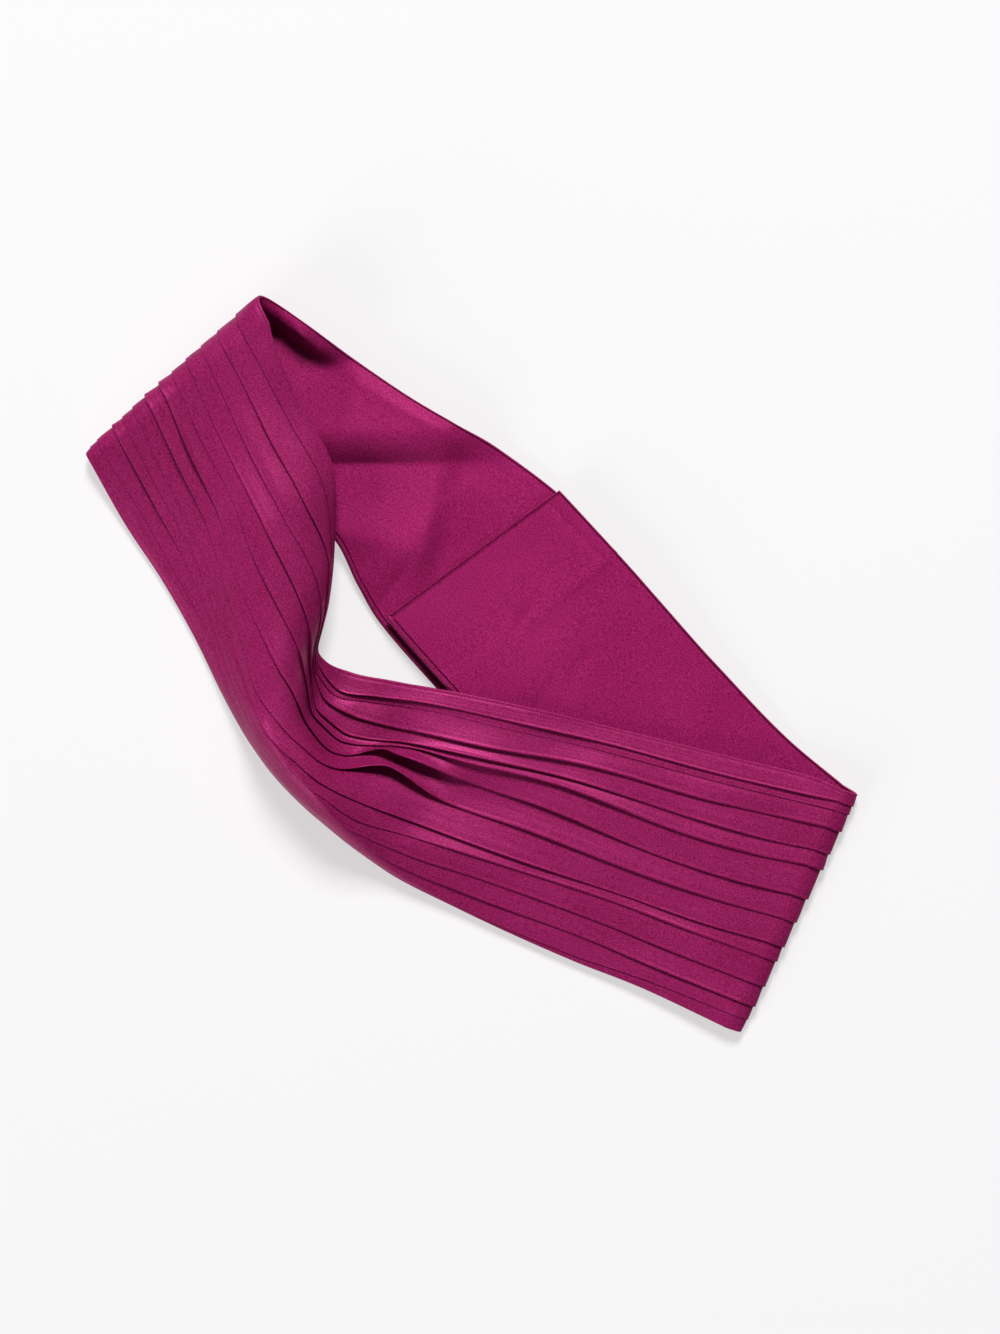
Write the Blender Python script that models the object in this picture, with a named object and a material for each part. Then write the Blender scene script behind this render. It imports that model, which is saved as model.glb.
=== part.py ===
"""Pleated satin belt, fastened into a loop and laid down flat.

The belt is a band of knife-pleated satin with a plain satin lining. Closed, it is a ring:
the front stretch shows its pleats, it turns over at a soft fold at each end, and the two
back stretches lie on the table under it with their linings up. Their ends overlap and are
held by a hook tape on a loop tape. The front's lower side stands up in a ridge where the
band bends, and two of its pleats gape beside the bend.

Every piece is made from one surface, the seam surface between pleated cloth and lining:
the pleated cloth is built outwards from it and the lining inwards. Lengths are in metres,
Z is up and the table is at Z = 0; the tables are in millimetres.
"""

import math

import bmesh
import bpy
import numpy as np

MM = 0.001

# Cloth and closure
CLOTH = 1.0 * MM          # pleated cloth with its interlining, without the step of a fold
STEP = 1.0 * MM           # how far a pleat's fold stands over the next pleat on the front
BACK_STEP = 0.4 * MM      # the same on the back stretches, which lie on their pleats
LINING = 1.0 * MM         # lining with its seam allowances
TAPE = 1.0 * MM           # hook tape and loop tape
GAP = 0.3 * MM            # between pieces that touch
TAPE_INSET = 0.06         # of the overlap's width and of the belt's, clear all round

# The end folds: the ends of the line where the front starts to turn over, the seam
# surface's radius at the top and the bottom edge, the outward direction (degrees from +X)
# and the slant at which the pleats cross the fold.
FOLDS = {
    "left": {"top": (-157.5, 61.0), "bottom": (-179.5, -31.5), "radius": (10.6, 2.6),
             "outward": 171.9, "slant": 15.0},
    "right": {"top": (151.5, 66.5), "bottom": (179.5, -40.3), "radius": (2.8, 2.4),
              "outward": 14.3, "slant": 14.0},
}

# Lines across the front are numbered from its top edge: 0 is the top edge, 1 to 12 are the
# pleats' folds and 13 is the bottom edge. Each row gives the lines' Y where they cross the
# line of constant X named in its first column; the first and last rows are the end folds.
FRONT_LINES = (
    ("x",        0,     1,     2,     3,     4,     5,     6,     7,     8,     9,    10,    11,    12,    13),
    ("left",  61.0,  49.5,  39.5,  31.0,  23.0,  15.5,   9.0,   1.5,  -5.5, -11.0, -16.0, -25.0, -28.5, -31.5),
    (-150,    55.5,  46.0,  34.5,  24.0,  14.5,   6.0,  -0.8,  -8.0, -17.0, -22.0, -26.0, -34.0, -39.5, -43.0),
    (-125,    43.5,  35.5,  23.5,  12.5,   3.5,  -4.0, -12.8, -19.8, -27.5, -31.5, -36.3, -43.5, -47.7, -50.6),
    (-100,    34.0,  26.0,  13.8,   2.5,  -7.0, -17.5, -29.5, -36.5, -41.0, -45.0, -48.5, -53.0, -57.0, -60.0),
    (-75,      6.3,   4.4,   1.6,  -7.2, -18.2, -28.4, -41.0, -52.6, -57.5, -60.5, -63.5, -66.5, -69.5, -71.3),
    (-62,    -13.3, -14.6, -16.0, -18.2, -26.6, -34.2, -46.2, -60.8, -64.5, -67.0, -70.0, -72.5, -75.0, -76.5),
    (-53,    -30.6, -32.0, -33.4, -34.9, -37.0, -40.6, -49.2, -63.0, -69.0, -71.4, -74.0, -76.2, -78.4, -79.6),
    (-48,    -31.8, -36.3, -38.2, -39.8, -42.0, -44.6, -51.6, -63.9, -70.6, -73.0, -75.4, -77.6, -79.8, -81.0),
    (-38,    -28.5, -38.5, -40.5, -44.8, -50.2, -52.8, -56.6, -65.0, -72.0, -74.5, -77.0, -79.5, -82.0, -83.5),
    (-25,    -21.5, -31.0, -33.5, -42.2, -50.6, -53.8, -59.4, -65.0, -72.5, -76.0, -79.0, -81.5, -83.8, -85.3),
    (-18,    -17.6, -26.5, -29.0, -39.3, -47.8, -51.0, -57.0, -63.4, -72.0, -76.2, -79.5, -82.2, -84.2, -85.8),
    (-12,    -14.0, -22.5, -25.0, -36.5, -44.0, -46.6, -50.2, -59.8, -71.0, -76.2, -79.8, -82.5, -84.3, -86.0),
    (0,       -7.0, -15.5, -17.8, -30.0, -35.5, -37.5, -39.3, -51.0, -68.0, -75.0, -79.5, -82.0, -84.3, -86.0),
    (25,       6.5,  -2.5,  -5.3, -17.0, -22.0, -25.0, -33.5, -45.5, -59.5, -65.0, -73.5, -79.0, -82.0, -84.5),
    (60,      24.0,  15.5,  12.3,   3.5,  -4.5,  -8.0, -20.5, -32.0, -47.0, -50.5, -60.0, -68.3, -75.0, -76.7),
    (110,     48.5,  38.7,  35.8,  26.0,  16.0,   8.8,  -5.0, -14.8, -27.3, -30.5, -42.0, -50.4, -60.0, -62.3),
    (140,     63.0,  54.0,  50.5,  41.5,  29.2,  22.0,   7.0,  -3.0, -16.0, -20.0, -32.2, -41.4, -48.0, -52.0),
    ("right", 66.5,  61.5,  58.0,  50.5,  40.0,  34.0,  20.0,  10.0,  -1.5,  -7.5, -19.5, -28.3, -34.0, -40.3),
)

# Height of the front's seam surface over the table along some of those lines. Its two ends
# come from the folds' radii.
FRONT_HEIGHTS = (
    ("x",      0,     2,     4,     6,   6.6,     7,     8,     9,    10,    12,    13),
    (-150,  23.4,  20.8,  17.0,  13.2,  12.2,  11.4,   9.0,   7.4,   6.0,   3.2,   2.0),
    (-125,  19.4,  21.8,  21.0,  14.6,  13.0,  11.8,   9.4,   7.8,   6.2,   3.0,   1.4),
    (-100,  17.2,  22.4,  23.6,  17.6,  15.8,  14.6,  11.8,  10.0,   8.0,   3.8,   1.4),
    (-75,   11.0,  16.4,  22.4,  22.6,  21.2,  19.8,  16.8,  14.6,  12.0,   5.4,   1.4),
    (-62,   10.4,  13.6,  19.8,  25.4,  24.8,  23.8,  21.4,  18.8,  15.8,   7.4,   1.4),
    (-53,    7.6,  10.0,  13.6,  25.4,  26.4,  26.4,  25.6,  23.4,  20.0,   9.8,   1.4),
    (-48,    5.4,   6.4,   8.8,  24.2,  26.4,  26.8,  26.8,  25.2,  21.8,  11.2,   1.4),
    (-38,    3.2,   3.2,   4.8,  18.8,  25.0,  26.6,  27.2,  26.0,  23.2,  12.4,   1.4),
    (-25,    5.0,   3.0,   2.6,  11.4,  19.6,  24.6,  26.8,  26.0,  23.6,  13.0,   1.4),
    (-18,    5.9,   4.0,   2.6,   6.6,  12.8,  19.4,  25.8,  25.8,  23.6,  13.0,   1.4),
    (-12,    7.0,   5.2,   2.8,   3.2,   6.8,  13.2,  24.2,  24.8,  23.0,  12.8,   1.4),
    (0,     10.3,   9.4,   5.8,   2.2,   2.8,   6.4,  18.4,  20.6,  20.2,  12.2,   1.4),
    (25,    10.6,  10.6,   8.8,   5.0,   4.8,   5.8,   9.8,  11.6,  12.0,   8.0,   1.8),
    (60,     6.6,   6.5,   6.2,   4.9,   4.9,   5.0,   5.6,   5.6,   5.2,   3.4,   2.2),
    (110,    6.8,   6.5,   6.0,   5.4,   5.2,   5.0,   4.6,   4.4,   4.0,   3.0,   2.4),
    (140,    6.5,   6.3,   6.1,   5.7,   5.6,   5.5,   5.2,   4.9,   4.6,   4.0,   3.6),
)

# The pleats that gape beside the bend: how far the fold lifts over its usual step, where
# along X it lifts most, and how far it takes to close to the left and to the right.
GAPING = {
    6: {"lift": 8.0, "x": 2.0, "left": 14.0, "right": 55.0},
    7: {"lift": 5.0, "x": 3.0, "left": 15.0, "right": 45.0},
}

# The back stretches from above, from the fold to the free end: the top edge's point, the
# bottom edge's point, and how far the cloth bows up between them.
BACK_LEFT = (
    ("section", "top_x", "top_y", "bottom_x", "bottom_y", "bow"),
    ("near_fold", -125.0, 72.0, -140.0, -21.0, 3.0),
    ("hollow", -95.0, 75.0, -108.0, -7.0, 7.0),
    ("pinch", -72.0, 79.0, -82.0, 6.5, 8.0),
    ("bulge", -52.0, 83.0, -60.0, 2.5, 4.0),
    ("under_free_end", -23.0, 85.0, -44.0, -4.3, 0.0),
    ("free_end", 15.0, 82.0, -5.6, -10.5, 0.0),
)
BACK_RIGHT = (
    ("section", "top_x", "top_y", "bottom_x", "bottom_y", "bow"),
    ("near_fold", 128.0, 67.5, 140.0, -33.0, 0.0),
    ("middle", 75.0, 72.5, 75.0, -21.3, 0.0),
    ("foot_of_ramp", 44.0, 77.0, 38.0, -14.8, 0.0),
    ("top_of_ramp", 24.0, 80.0, 14.0, -10.5, 0.0),
    ("end_of_tapes", -10.0, 84.6, -31.0, -4.0, 0.0),
    ("free_end", -20.5, 85.8, -42.0, -2.0, 0.0),
)

# Heights of the seam surface, worked out from the cloth
ON_TABLE = CLOTH + BACK_STEP + GAP / 2
BAND = CLOTH + BACK_STEP + GAP + LINING
ON_TAPES = BAND + GAP + 2 * (TAPE + GAP) + ON_TABLE
ON_BAND = BAND + GAP + ON_TABLE
RIGHT_LIFTS = {"top_of_ramp": ON_TAPES, "end_of_tapes": ON_TAPES, "free_end": ON_BAND}

# How finely the pieces are faceted
FRONT_FACET = 10.0        # along the front
BEND_FACET = 5.0          # along the front beside the bend
BEND = (-80.0, 25.0)      # where the bend is
TURN_FACETS = 7           # round an end fold
BACK_FACETS = 2           # between two sections of a back stretch
BACK_STRIPS = 7           # across a back stretch
DROP = 0.04               # half the width of a fold's drop, in shares of a pleat

# Colour and roughness of each finish
PLEATED = ((0.305, 0.017, 0.114), 0.38)
PLAIN = ((0.33, 0.02, 0.13), 0.42)
LOOPS = ((0.16, 0.01, 0.06), 0.9)
HOOKS = ((0.16, 0.01, 0.06), 0.7)


# ------------------------------------------------------------------ curves through tables

def smooth(knots, values, at):
    """A curve through the values that never overshoots them (monotone cubic)."""
    x, y = np.asarray(knots, float), np.asarray(values, float)
    step, rise = np.diff(x), np.diff(y)
    slope = rise / step
    tangent = np.zeros(len(x))
    tangent[0], tangent[-1] = slope[0], slope[-1]
    for i in range(1, len(x) - 1):
        if slope[i - 1] * slope[i] > 0:
            before, after = 2 * step[i] + step[i - 1], step[i] + 2 * step[i - 1]
            tangent[i] = (before + after) / (before / slope[i - 1] + after / slope[i])
    at = np.clip(np.asarray(at, float), x[0], x[-1])
    i = np.clip(np.searchsorted(x, at, side="right") - 1, 0, len(step) - 1)
    t = (at - x[i]) / step[i]
    return (y[i] * (1 + 2 * t) * (1 - t) ** 2 + y[i + 1] * t * t * (3 - 2 * t)
            + step[i] * (tangent[i] * t * (1 - t) ** 2 - tangent[i + 1] * t * t * (1 - t)))


def table(rows):
    """A table's rows by their first column, without its header."""
    return {row[0]: np.array(row[1:], float) for row in rows[1:]}


def columns(rows):
    """A table's columns by their heading, without its first column."""
    return {column[0]: np.array(column[1:], float) for column in list(zip(*rows))[1:]}


LINES = columns(FRONT_LINES)
HEIGHTS = columns(FRONT_HEIGHTS)
LINE_X = np.array([row[0] for row in FRONT_HEIGHTS[1:]], float)
LAST = len(LINES) - 1                       # the bottom edge's number
PLEATS = LAST - 1                           # the folds between the two edges


def heading(side):
    """The fold's outward direction and its direction towards the top edge."""
    a = math.radians(FOLDS[side]["outward"])
    out = np.array([math.cos(a), math.sin(a)])
    up = np.array([-out[1], out[0]]) * (1 if side == "right" else -1)
    return out, up


def fold_line(side, across):
    """Where the front starts to turn over, and the turn's radius, at lines across the belt."""
    fold = FOLDS[side]
    column = np.array([row[0] if side == "left" else row[-1] for row in LINES.values()])
    share = (column[0] - column) / (column[0] - column[-1])
    share = np.interp(across, range(len(share)), share)
    top, bottom = np.array(fold["top"]), np.array(fold["bottom"])
    place = top + share[:, None] * (bottom - top)
    radius = fold["radius"][0] + share * (fold["radius"][1] - fold["radius"][0])
    return place * MM, radius * MM, share


# ------------------------------------------------------------------ the seam surface

def front_span():
    """The front's length along X, from one fold's mean X to the other's, in millimetres."""
    return [float(np.mean(fold_line(side, list(LINES))[0][:, 0])) / MM
            for side in ("left", "right")]


def front_rows(along, across):
    """Rows of points of the front from above, one for each X in along."""
    start, end = front_span()
    knots = np.concatenate([[start], LINE_X, [end]])
    left, left_radius, _ = fold_line("left", list(LINES))
    right, right_radius, _ = fold_line("right", list(LINES))
    x, y, high = [], [], []
    for line, places in LINES.items():
        crossings = np.concatenate([[left[line, 0] / MM], LINE_X, [right[line, 0] / MM]])
        x.append(smooth(knots, crossings, along))
        y.append(smooth(knots, places, along))
    for line, places in HEIGHTS.items():
        ends = [(ON_TABLE + 2 * np.interp(line, list(LINES), radius)) / MM
                for radius in (left_radius, right_radius)]
        high.append(smooth(knots, np.concatenate([[ends[0]], places, [ends[1]]]), along))
    rows = []
    for i in range(len(along)):
        px = np.interp(across, list(LINES), [line[i] for line in x])
        py = np.interp(across, list(LINES), [line[i] for line in y])
        pz = smooth(list(HEIGHTS), [line[i] for line in high], across)
        rows.append(np.column_stack([px, py, pz]) * MM)
    return rows


def turn_rows(side, across, facets):
    """Rows round an end fold, from the front to the back."""
    place, radius, _ = fold_line(side, across)
    out, up = heading(side)
    slant = math.tan(math.radians(abs(FOLDS[side]["slant"])))
    rows = []
    for i in range(facets + 1):
        angle = math.pi * i / facets
        plan = (place + out * (radius * math.sin(angle))[:, None]
                + up * (radius * angle * slant)[:, None])
        high = ON_TABLE + radius * (1 + math.cos(angle))
        rows.append(np.column_stack([plan, high]))
    return rows


def back_rows(side, across):
    """Rows of a back stretch, from just past the fold to the free end."""
    sections = table(BACK_LEFT if side == "left" else BACK_RIGHT)
    turned = turn_rows(side, np.array([0.0, LAST]), 1)[-1][:, :2] / MM
    top = np.array([turned[0]] + [row[0:2] for row in sections.values()])
    bottom = np.array([turned[1]] + [row[2:4] for row in sections.values()])
    bow = [0.0] + [row[4] for row in sections.values()]
    lift = [ON_TABLE / MM] * len(top)
    if side == "right":
        lift = [ON_TABLE / MM] + [RIGHT_LIFTS.get(name, ON_TABLE) / MM for name in sections]
    middle = (top + bottom) / 2
    way = np.concatenate([[0.0], np.cumsum(np.hypot(*np.diff(middle, axis=0).T))])
    stops = [way[0] + GAP / MM]
    for start, end in zip(way[:-1], way[1:]):
        stops += [start + (end - start) * k / BACK_FACETS for k in range(1, BACK_FACETS + 1)]
    share = fold_line(side, across)[2]
    rows = []
    for at in stops:
        a = np.array([smooth(way, top[:, k], [at])[0] for k in (0, 1)])
        b = np.array([smooth(way, bottom[:, k], [at])[0] for k in (0, 1)])
        plan = a + share[:, None] * (b - a)
        high = smooth(way, lift, [at])[0] + smooth(way, bow, [at])[0] * np.sin(math.pi * share)
        rows.append(np.column_stack([plan, high]) * MM)
    return rows


def normals(rows):
    """Unit normals of a grid of points, on the side that the pleats face."""
    grid = np.array(rows)
    along = np.gradient(grid, axis=0)
    across = np.gradient(grid, axis=1)
    found = np.cross(across, along)
    return found / np.linalg.norm(found, axis=2)[:, :, None]


def ring_rows(along, across):
    """Rows from one seam under the belt, over both folds and the front, to the other seam."""
    left = turn_rows("left", across, TURN_FACETS)[::-1]
    right = turn_rows("right", across, TURN_FACETS)
    front = np.array(front_rows(along, across))
    # the table gives the outer face, which stands this far out from the seam surface
    sideways = normals(front) * (GAP / 2 + CLOTH + STEP / 2)
    front[:, :, :2] -= sideways[:, :, :2]
    rows = left + list(front) + right
    out = normals(rows)
    out[0] = out[-1] = (0, 0, -1)           # both seams lie flat on the table
    return rows, out


# ------------------------------------------------------------------ closed pieces

def cloth_material(name, finish):
    """The piece's own plain material."""
    colour, roughness = finish
    material = bpy.data.materials.new(name)
    material.use_nodes = True
    shader = material.node_tree.nodes["Principled BSDF"]
    shader.inputs["Base Color"].default_value = (*colour, 1.0)
    shader.inputs["Roughness"].default_value = roughness
    shader.inputs["Metallic"].default_value = 0.0
    return material


def add_piece(name, bm, finish):
    """Makes the mesh an object, with its faces pointing out."""
    bmesh.ops.recalc_face_normals(bm, faces=bm.faces)
    mesh = bpy.data.meshes.new(name)
    bm.to_mesh(mesh)
    bm.free()
    mesh.materials.append(cloth_material(name, finish))
    bpy.context.scene.collection.objects.link(bpy.data.objects.new(name, mesh))


def wall(name, outer, inner, finish):
    """A closed wall of cloth between two grids of points with as many rows as each other."""
    bm = bmesh.new()
    out = [[bm.verts.new(p) for p in row] for row in outer]
    inn = [[bm.verts.new(p) for p in row] for row in inner]
    for side in (out, inn):
        for row, following in zip(side[:-1], side[1:]):
            for j in range(len(row) - 1):
                bm.faces.new((row[j], row[j + 1], following[j + 1], following[j]))
    for i in range(len(out) - 1):
        for j in (0, -1):
            bm.faces.new((out[i][j], out[i + 1][j], inn[i + 1][j], inn[i][j]))
    for i in (0, -1):
        bm.faces.new(out[i] + inn[i][::-1])
    add_piece(name, bm, finish)


def plate(name, corners, low, finish):
    """A flat piece of tape on the given height."""
    bm = bmesh.new()
    face = bm.faces.new([bm.verts.new((x, y, low)) for x, y in corners])
    raised = bmesh.ops.extrude_face_region(bm, geom=[face])["geom"]
    bmesh.ops.translate(bm, vec=(0, 0, TAPE),
                        verts=[v for v in raised if isinstance(v, bmesh.types.BMVert)])
    add_piece(name, bm, finish)


def gaping(x):
    """How far each gaping fold lifts over its usual step at this X, by the fold's number."""
    lifts = {}
    for fold, gape in GAPING.items():
        reach = gape["left"] if x < gape["x"] else gape["right"]
        share = min(abs(x - gape["x"]) / reach, 1.0)
        lifts[fold] = gape["lift"] * MM * (1 - share * share * (3 - 2 * share))
    return lifts


def pleated_face(rows, facing, across, steps):
    """The pleats' outer face: from each fold the cloth climbs to the next one's step."""
    face = []
    for row, normal, step in zip(rows, facing, steps):
        lifts = gaping(row[:, 0].mean() / MM) if step == STEP else {}
        out = []
        for place, n, at in zip(row, normal, across):
            pleat = min(int(at), PLEATS)
            most = step + lifts.get(pleat + 1, 0.0) if pleat < PLEATS else BACK_STEP
            out.append(place + n * (GAP / 2 + CLOTH + most * (at - pleat)))
        face.append(out)
    return face


def offset(rows, facing, distance):
    """A grid moved out from the seam surface, or in where the distance is negative."""
    return [row + n * distance for row, n in zip(rows, facing)]


# ------------------------------------------------------------------ the belt's pieces

def front_stations():
    """The X of each row of the front, closer together beside the bend, in millimetres."""
    start, end = front_span()
    stations = [start]
    while stations[-1] < end:
        beside_bend = BEND[0] <= stations[-1] < BEND[1]
        stations.append(stations[-1] + (BEND_FACET if beside_bend else FRONT_FACET))
    return [x for x in stations[1:] if x < end - FRONT_FACET / 2]


def front_steps(stations):
    """The height of a fold's step in each row, shallow where the belt lies on its pleats."""
    rise = np.minimum(np.arange(TURN_FACETS + 1) * 2 / TURN_FACETS, 1.0)
    turn = list(BACK_STEP + (STEP - BACK_STEP) * rise)
    return turn + [STEP] * len(stations) + turn[::-1]


def front_stretch():
    """The front with both end folds: the pleated cloth and its lining."""
    stations = front_stations()
    ridges = [fold + side for fold in range(1, PLEATS + 1) for side in (-DROP, DROP)]
    hem = [PLEATS - 0.5, PLEATS + 0.5]
    across = np.array(sorted([0.0, float(LAST)] + ridges + hem))
    rows, out = ring_rows(stations, across)
    face = pleated_face(rows, out, across, front_steps(stations))
    rows, out = ring_rows(stations, np.array(list(range(LAST)) + [PLEATS + 0.5, LAST]))
    wall("pleats_front", face, offset(rows, out, GAP / 2), PLEATED)
    wall("lining_front", offset(rows, out, -GAP / 2), offset(rows, out, -GAP / 2 - LINING), PLAIN)


def back_stretch(side):
    """A back stretch: it lies on its pleated cloth, with its lining up."""
    rows = back_rows(side, np.linspace(0, LAST, BACK_STRIPS + 1))
    if side == "left":
        rows = rows[::-1]
    out = normals(rows)
    wall("pleats_back_" + side, offset(rows, out, GAP / 2 + CLOTH + BACK_STEP),
         offset(rows, out, GAP / 2), PLEATED)
    wall("lining_back_" + side, offset(rows, out, -GAP / 2),
         offset(rows, out, -GAP / 2 - LINING), PLAIN)


def overlap_corner(along, down):
    """A point of the overlap, in shares of its length and of the belt's width."""
    start, end = table(BACK_RIGHT)["end_of_tapes"], table(BACK_LEFT)["free_end"]
    across = start + along * (end - start)
    top, bottom = across[0:2], across[2:4]
    return (top + down * (bottom - top)) * MM


def closure_tapes():
    """The loop tape on the lower free end and the hook tape on it, under the upper one."""
    near, far = TAPE_INSET, 1 - TAPE_INSET
    corners = [overlap_corner(along, down)
               for along, down in ((near, near), (far, near), (far, far), (near, far))]
    plate("loop_tape", corners, BAND + GAP, LOOPS)
    plate("hook_tape", corners, BAND + TAPE + 2 * GAP, HOOKS)


def build():
    """The whole belt, in an empty scene."""
    for old in list(bpy.data.objects):
        bpy.data.objects.remove(old, do_unlink=True)
    front_stretch()
    back_stretch("left")
    back_stretch("right")
    closure_tapes()


build()
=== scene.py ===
import math
import bpy
import numpy as np
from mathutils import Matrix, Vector


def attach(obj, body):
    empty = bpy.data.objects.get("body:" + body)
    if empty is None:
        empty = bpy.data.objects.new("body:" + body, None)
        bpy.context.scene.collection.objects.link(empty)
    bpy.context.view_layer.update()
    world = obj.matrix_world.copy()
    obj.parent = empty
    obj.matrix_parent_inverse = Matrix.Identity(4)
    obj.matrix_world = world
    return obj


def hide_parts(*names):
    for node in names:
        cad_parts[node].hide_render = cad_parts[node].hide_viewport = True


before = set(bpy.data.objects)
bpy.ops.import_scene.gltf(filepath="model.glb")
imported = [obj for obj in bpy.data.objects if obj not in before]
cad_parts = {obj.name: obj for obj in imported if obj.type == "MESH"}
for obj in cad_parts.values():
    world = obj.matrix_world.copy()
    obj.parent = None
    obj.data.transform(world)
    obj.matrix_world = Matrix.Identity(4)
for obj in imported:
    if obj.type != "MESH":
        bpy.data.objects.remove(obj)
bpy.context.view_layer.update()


# ---------------------------------------------------------------- pleated satin, the front
# The outside of the belt is one strip of plum satin on an interlining, pressed into knife
# pleats that all face the belt's lower edge. This stretch is the front with both end folds.
# Its long edges are rolled over the lining's edges, and two of its pleats gape at the bend.

MM = 0.001                # the tables and the cloth's values are in millimetres

# Y of each line across the front where it crosses the lines of constant X in the first
# column, and in the rows "end" where the left and the right end fold start. Line 0 is the
# top edge, 1 to 12 are the pleats' folds, 13 is the bottom edge.
FRONT_LINES = (
    ("x",       0,     1,     2,     3,     4,     5,     6,     7,     8,     9,    10,    11,    12,    13),
    ("end",  61.0,  49.5,  39.5,  31.0,  23.0,  15.5,   9.0,   1.5,  -5.5, -11.0, -16.0, -25.0, -28.5, -31.5),
    (-150,   55.5,  46.0,  34.5,  24.0,  14.5,   6.0,  -0.8,  -8.0, -17.0, -22.0, -26.0, -34.0, -39.5, -43.0),
    (-125,   43.5,  35.5,  23.5,  12.5,   3.5,  -4.0, -12.8, -19.8, -27.5, -31.5, -36.3, -43.5, -47.7, -50.6),
    (-100,   34.0,  26.0,  13.8,   2.5,  -7.0, -17.5, -29.5, -36.5, -41.0, -45.0, -48.5, -53.0, -57.0, -60.0),
    (-75,     6.3,   4.4,   1.6,  -7.2, -18.2, -28.4, -41.0, -52.6, -57.5, -60.5, -63.5, -66.5, -69.5, -71.3),
    (-62,   -13.3, -14.6, -16.0, -18.2, -26.6, -34.2, -46.2, -60.8, -64.5, -67.0, -70.0, -72.5, -75.0, -76.5),
    (-53,   -30.6, -32.0, -33.4, -34.9, -37.0, -40.6, -49.2, -63.0, -69.0, -71.4, -74.0, -76.2, -78.4, -79.6),
    (-48,   -31.8, -36.3, -38.2, -39.8, -42.0, -44.6, -51.6, -63.9, -70.6, -73.0, -75.4, -77.6, -79.8, -81.0),
    (-38,   -28.5, -38.5, -40.5, -44.8, -50.2, -52.8, -56.6, -65.0, -72.0, -74.5, -77.0, -79.5, -82.0, -83.5),
    (-25,   -21.5, -31.0, -33.5, -42.2, -50.6, -53.8, -59.4, -65.0, -72.5, -76.0, -79.0, -81.5, -83.8, -85.3),
    (-18,   -17.6, -26.5, -29.0, -39.3, -47.8, -51.0, -57.0, -63.4, -72.0, -76.2, -79.5, -82.2, -84.2, -85.8),
    (-12,   -14.0, -22.5, -25.0, -36.5, -44.0, -46.6, -50.2, -59.8, -71.0, -76.2, -79.8, -82.5, -84.3, -86.0),
    (0,      -7.0, -15.5, -17.8, -30.0, -35.5, -37.5, -39.3, -51.0, -68.0, -75.0, -79.5, -82.0, -84.3, -86.0),
    (25,      6.5,  -2.5,  -5.3, -17.0, -22.0, -25.0, -33.5, -45.5, -59.5, -65.0, -73.5, -79.0, -82.0, -84.5),
    (60,     24.0,  15.5,  12.3,   3.5,  -4.5,  -8.0, -20.5, -32.0, -47.0, -50.5, -60.0, -68.3, -75.0, -76.7),
    (110,    48.5,  38.7,  35.8,  26.0,  16.0,   8.8,  -5.0, -14.8, -27.3, -30.5, -42.0, -50.4, -60.0, -62.3),
    (140,    63.0,  54.0,  50.5,  41.5,  29.2,  22.0,   7.0,  -3.0, -16.0, -20.0, -32.2, -41.4, -48.0, -52.0),
    ("end",  66.5,  61.5,  58.0,  50.5,  40.0,  34.0,  20.0,  10.0,  -1.5,  -7.5, -19.5, -28.3, -34.0, -40.3),
)

# Height of the front over the table along some of those lines, between cloth and lining
FRONT_HEIGHTS = (
    ("x",        0,     2,     4,     6,   6.6,     7,     8,     9,    10,    12,    13),
    (-150,     22.0,  19.6,  16.4,  13.0,  12.2,  11.4,   9.0,   7.4,   6.0,   3.2,   2.0),
    (-125,     19.4,  21.4,  21.0,  14.6,  13.0,  11.8,   9.4,   7.8,   6.2,   3.0,   1.4),
    (-100,     18.4,  23.8,  25.0,  18.6,  16.2,  14.8,  11.8,  10.0,   8.0,   3.8,   1.4),
    (-75,      12.2,  18.2,  24.6,  24.4,  22.6,  20.8,  17.0,  14.6,  12.0,   5.4,   1.4),
    (-62,      10.4,  13.8,  20.6,  26.2,  25.4,  24.2,  21.4,  18.8,  15.8,   7.4,   1.4),
    (-53,       7.6,  10.0,  13.6,  25.4,  26.4,  26.4,  25.6,  23.4,  20.0,   9.8,   1.4),
    (-48,       5.4,   6.4,   8.8,  24.2,  26.4,  26.8,  26.8,  25.2,  21.8,  11.2,   1.4),
    (-38,       3.2,   3.2,   4.8,  18.8,  25.0,  26.6,  27.2,  26.0,  23.2,  12.4,   1.4),
    (-25,       5.0,   3.0,   2.6,  11.4,  19.6,  24.6,  26.8,  26.0,  23.6,  13.0,   1.4),
    (-18,       5.9,   4.0,   2.6,   6.6,  12.8,  19.4,  25.8,  25.8,  23.6,  13.0,   1.4),
    (-12,       7.0,   5.2,   2.8,   3.2,   6.8,  13.2,  24.2,  24.8,  23.0,  12.8,   1.4),
    (0,         8.8,   8.0,   6.4,   4.4,   2.6,   5.6,  18.2,  20.4,  20.2,  12.2,   1.4),
    (25,        9.4,   9.2,   9.2,   5.4,   3.4,   4.8,   7.2,   9.4,  10.6,   7.8,   1.8),
    (60,        6.6,   6.5,   6.2,   4.9,   4.9,   5.0,   5.6,   5.6,   5.2,   3.4,   2.2),
    (110,       6.8,   6.5,   6.0,   5.4,   5.2,   5.0,   4.5,   4.2,   3.8,   2.9,   2.4),
    (140,       6.5,   6.3,   6.1,   5.7,   5.6,   5.5,   5.2,   4.9,   4.6,   4.0,   3.6),
)

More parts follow.
